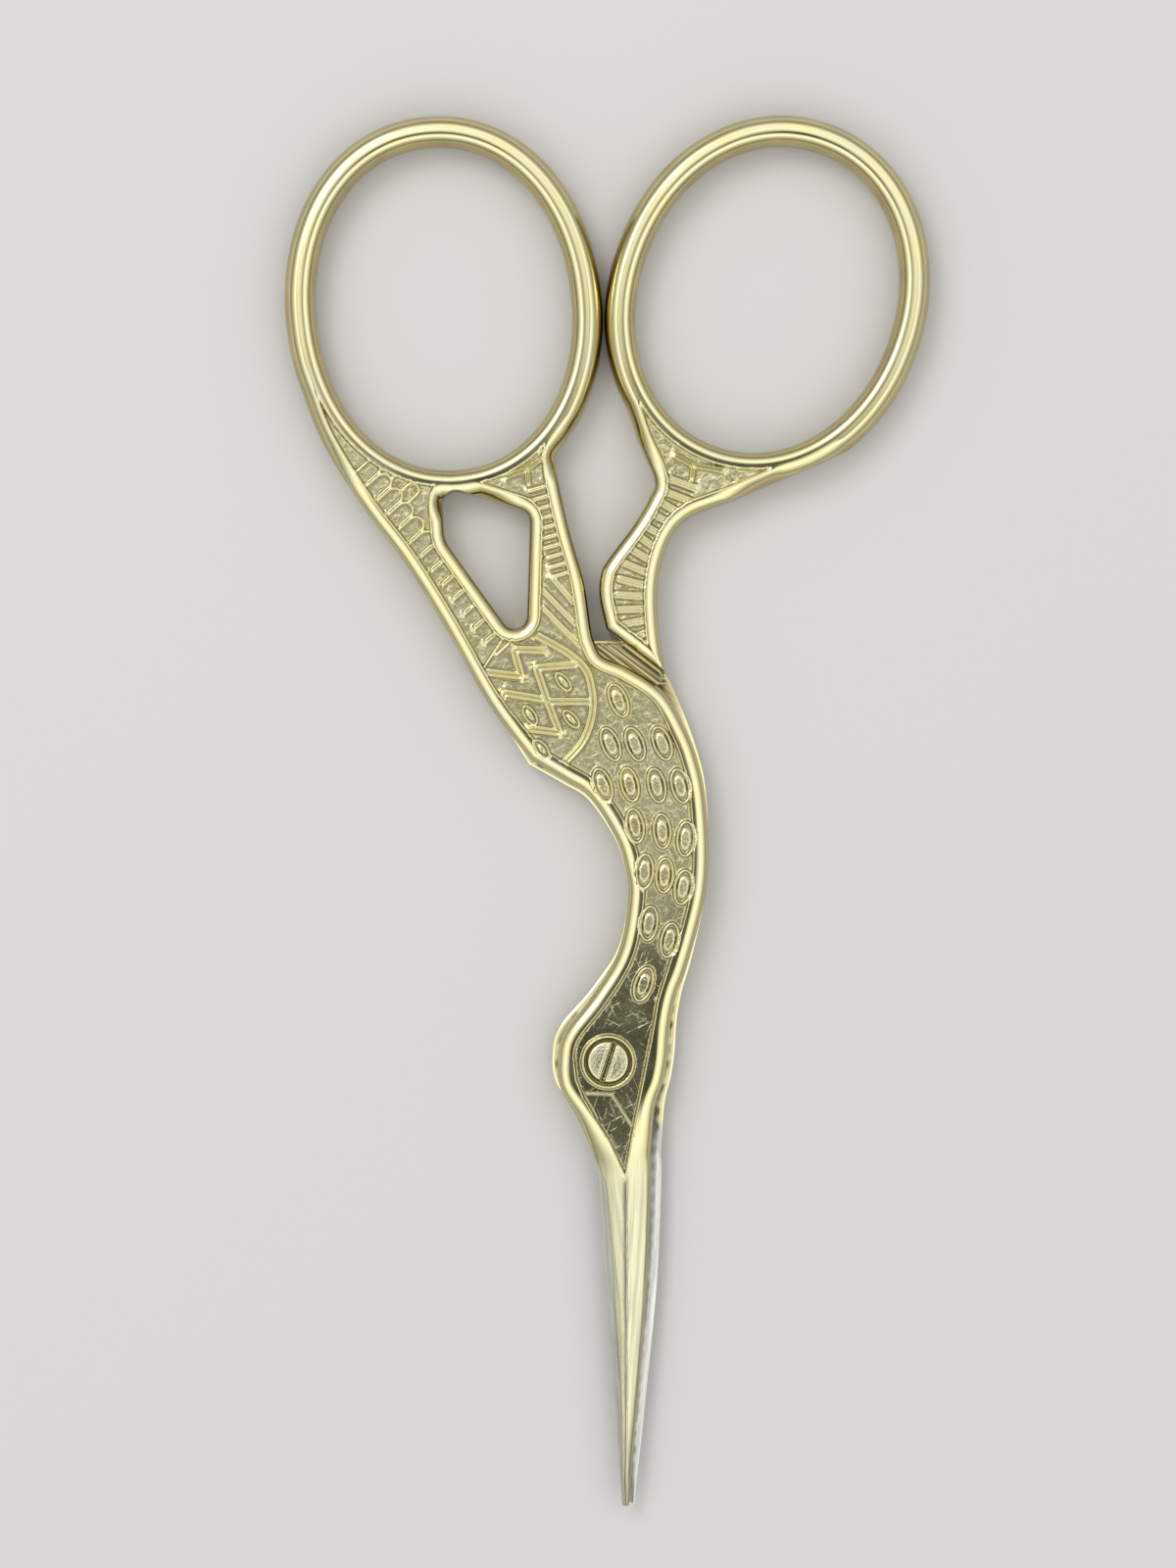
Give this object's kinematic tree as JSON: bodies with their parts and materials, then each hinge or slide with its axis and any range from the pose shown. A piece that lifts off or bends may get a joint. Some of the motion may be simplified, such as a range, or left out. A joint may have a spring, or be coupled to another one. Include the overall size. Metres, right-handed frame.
{
  "type": "embroidery scissors",
  "caption": "Stork-shaped embroidery scissors: crossing blades form the beak, a slotted pivot screw the eye, and each half ends in an oval finger bow; sunk fields inside raised rims.",
  "frame": {"origin": "on the pivot axis at the plane the scissors rest on when they lie on their back", "axes": "+Y from the pivot towards the finger bows (the blades point to -Y), +X to the right bow, +Z out of the front, the side with the screw head"},
  "size_m": [0.0428, 0.0917, 0.003],
  "materials": {
    "upper_half": "pale gold plating over steel, polished rims and bow, grained sunk fields, bare ground edge",
    "lower_half": "pale gold plating over steel, polished rims and bow, grained sunk fields, bare ground edge",
    "pivot_screw": "pale gold plating over steel, polished slotted head"
  },
  "bodies": {
    "lower": {"lower_half": "lower_half", "pivot_screw": "pivot_screw"},
    "upper": {"upper_half": "upper_half"}
  },
  "joints": [
    {"name": "blade_pivot", "type": "hinge", "parent": "lower", "child": "upper", "pos_m": [0, 0, 0.0015], "axis": [0, 0, 1], "range_deg": [0, 160]}
  ]
}
